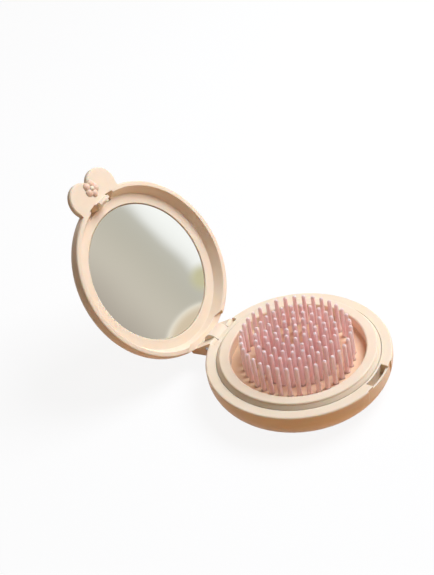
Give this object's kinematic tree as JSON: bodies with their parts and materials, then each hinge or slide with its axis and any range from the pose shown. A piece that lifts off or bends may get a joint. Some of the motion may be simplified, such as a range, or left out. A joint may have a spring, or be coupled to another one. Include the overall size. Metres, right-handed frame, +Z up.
{
  "type": "folding hairbrush with mirror",
  "caption": "Round pocket hairbrush: hinged lid with a mirror, retracting pin field in the base, push button underneath, flower relief on the lid's lobe.",
  "frame": {"origin": "on the table under the middle of the open object's footprint; the centre of the round base lies 27.9 mm in front of it, at -Y", "axes": "+Z up, +Y from the latch at the front to the hinge and the opened lid at the back, X along the hinge"},
  "size_m": [0.075, 0.1298, 0.0776],
  "materials": {
    "cream_plastic": "satin moulded",
    "beige_plastic": "matt moulded",
    "pink_plastic": "smooth moulded",
    "silvered_glass": "polished",
    "foam_tape": "matt foam",
    "steel": "drawn wire"
  },
  "bodies": {
    "base": {"base_shell": "cream_plastic", "collar": "cream_plastic", "drilled_disc": "beige_plastic"},
    "lifter": {"pin_plate": "pink_plastic", "push_button": "cream_plastic"},
    "lid": {"lid_shell": "cream_plastic", "mirror": "silvered_glass", "mirror_tape": "foam_tape", "hinge_pin": "steel", "blossom": "pink_plastic", "blossom_centre": "cream_plastic"}
  },
  "joints": [
    {"name": "lid_hinge", "type": "hinge", "parent": "base", "child": "lid", "pos_m": [0, 0.0106, 0.01], "axis": [1, 0, 0], "range_deg": [0, 125]},
    {"name": "button_slide", "type": "slide", "parent": "base", "child": "lifter", "axis": [0, 0, -1], "range_m": [0, 0.0073]}
  ],
  "couplings": [
    {"joint": "button_slide", "follows": "lid_hinge", "m_per_rad": 0.003346}
  ]
}
